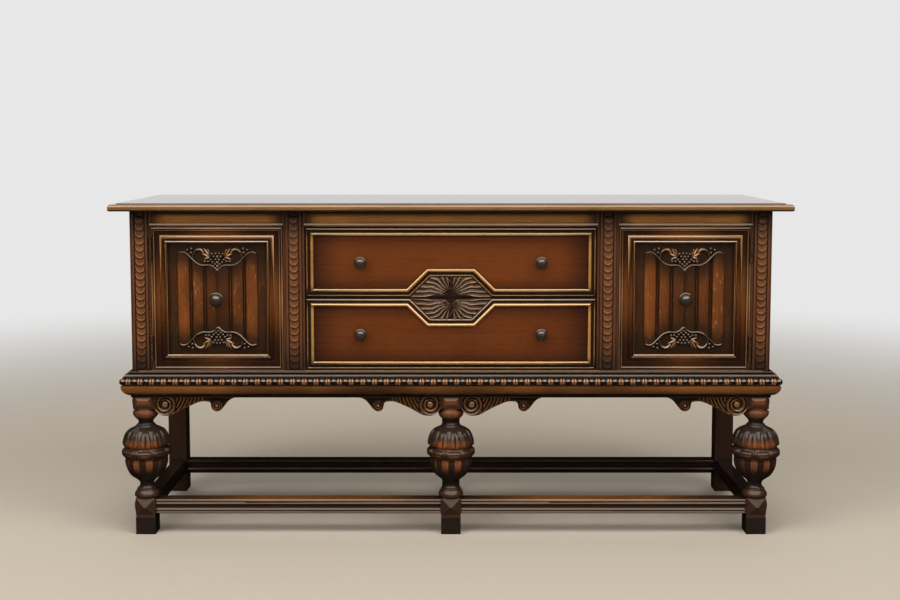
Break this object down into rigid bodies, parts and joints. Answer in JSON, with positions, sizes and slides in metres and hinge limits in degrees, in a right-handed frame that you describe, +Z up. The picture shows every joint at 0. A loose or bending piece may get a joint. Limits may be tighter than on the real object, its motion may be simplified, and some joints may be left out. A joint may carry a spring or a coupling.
{
  "type": "sideboard",
  "caption": "Low carved oak sideboard with two linenfold-panelled doors, two centre drawers and a stretchered stand on turned cup-and-cover legs.",
  "frame": {"origin": "on the floor, under the middle of the top board", "axes": "+Z up, +X to the right along the front as seen by a person facing it, and the front faces -Y"},
  "size_m": [1.829, 0.53, 0.914],
  "materials": {
    "dark_oak": "dark stained, satin wax",
    "top_wood": "dark stained, polished",
    "golden_frieze": "golden brown, long horizontal grain, satin",
    "bead_wood": "dark stained, rubbed high",
    "door_panel_wood": "dark stained",
    "carving_wood": "dark stained with rubbed highlights",
    "door_moulding_wood": "waxed",
    "drawer_moulding_wood": "golden brown, waxed",
    "drawer_veneer": "reddish brown figured veneer, satin",
    "knob_wood": "dark stained, polished",
    "inside_wood": "unpolished oak",
    "hinge_brass": "aged",
    "steel": "plain"
  },
  "bodies": {
    "case_and_stand": {"back_panel": "inside_wood", "base_moulding_ends": "dark_oak", "base_moulding_front": "dark_oak", "bead_and_reel": "bead_wood", "bottom_board": "inside_wood", "brackets": "dark_oak", "door_catches": "steel", "drawer_divider": "inside_wood", "drawer_runners": "inside_wood", "end_panel_left": "dark_oak", "end_panel_right": "dark_oak", "frieze_rails": "golden_frieze", "hinge_leaves_case": "hinge_brass", "hinge_pins": "hinge_brass", "leg_front_centre": "dark_oak", "leg_front_left": "dark_oak", "leg_front_right": "dark_oak", "legs_rear": "dark_oak", "partition_left": "inside_wood", "partition_right": "inside_wood", "pilaster_inner_left": "dark_oak", "pilaster_inner_right": "dark_oak", "pilaster_outer_left": "dark_oak", "pilaster_outer_right": "dark_oak", "rear_top_rails": "inside_wood", "shelf_left": "inside_wood", "shelf_pins": "steel", "shelf_right": "inside_wood", "stand_rails": "dark_oak", "stretchers_front": "dark_oak", "stretchers_rear": "dark_oak", "stretchers_side": "dark_oak", "top_board": "top_wood", "top_screws": "steel"},
    "door_left": {"door_left_frame": "dark_oak", "door_left_hinge_leaves": "hinge_brass", "door_left_knob": "knob_wood", "door_left_moulding": "door_moulding_wood", "door_left_panel": "door_panel_wood", "door_left_tracery": "carving_wood"},
    "door_right": {"door_right_frame": "dark_oak", "door_right_hinge_leaves": "hinge_brass", "door_right_knob": "knob_wood", "door_right_moulding": "door_moulding_wood", "door_right_panel": "door_panel_wood", "door_right_tracery": "carving_wood"},
    "drawer_upper": {"drawer_upper_back": "inside_wood", "drawer_upper_bottom": "inside_wood", "drawer_upper_front": "drawer_veneer", "drawer_upper_knobs": "knob_wood", "drawer_upper_medallion": "carving_wood", "drawer_upper_moulding": "drawer_moulding_wood", "drawer_upper_sides": "inside_wood"},
    "drawer_lower": {"drawer_lower_back": "inside_wood", "drawer_lower_bottom": "inside_wood", "drawer_lower_front": "drawer_veneer", "drawer_lower_knobs": "knob_wood", "drawer_lower_medallion": "carving_wood", "drawer_lower_moulding": "drawer_moulding_wood", "drawer_lower_sides": "inside_wood"}
  },
  "joints": [
    {"name": "door_left_hinge", "type": "hinge", "parent": "case_and_stand", "child": "door_left", "pos_m": [-0.81325, -0.2179, 0.65238], "axis": [0, 0, -1], "range_deg": [0, 110]},
    {"name": "door_right_hinge", "type": "hinge", "parent": "case_and_stand", "child": "door_right", "pos_m": [0.81325, -0.2179, 0.65238], "axis": [0, 0, 1], "range_deg": [0, 110]},
    {"name": "drawer_upper_slide", "type": "slide", "parent": "case_and_stand", "child": "drawer_upper", "axis": [0, -1, 0], "range_m": [0, 0.3]},
    {"name": "drawer_lower_slide", "type": "slide", "parent": "case_and_stand", "child": "drawer_lower", "axis": [0, -1, 0], "range_m": [0, 0.3]}
  ]
}
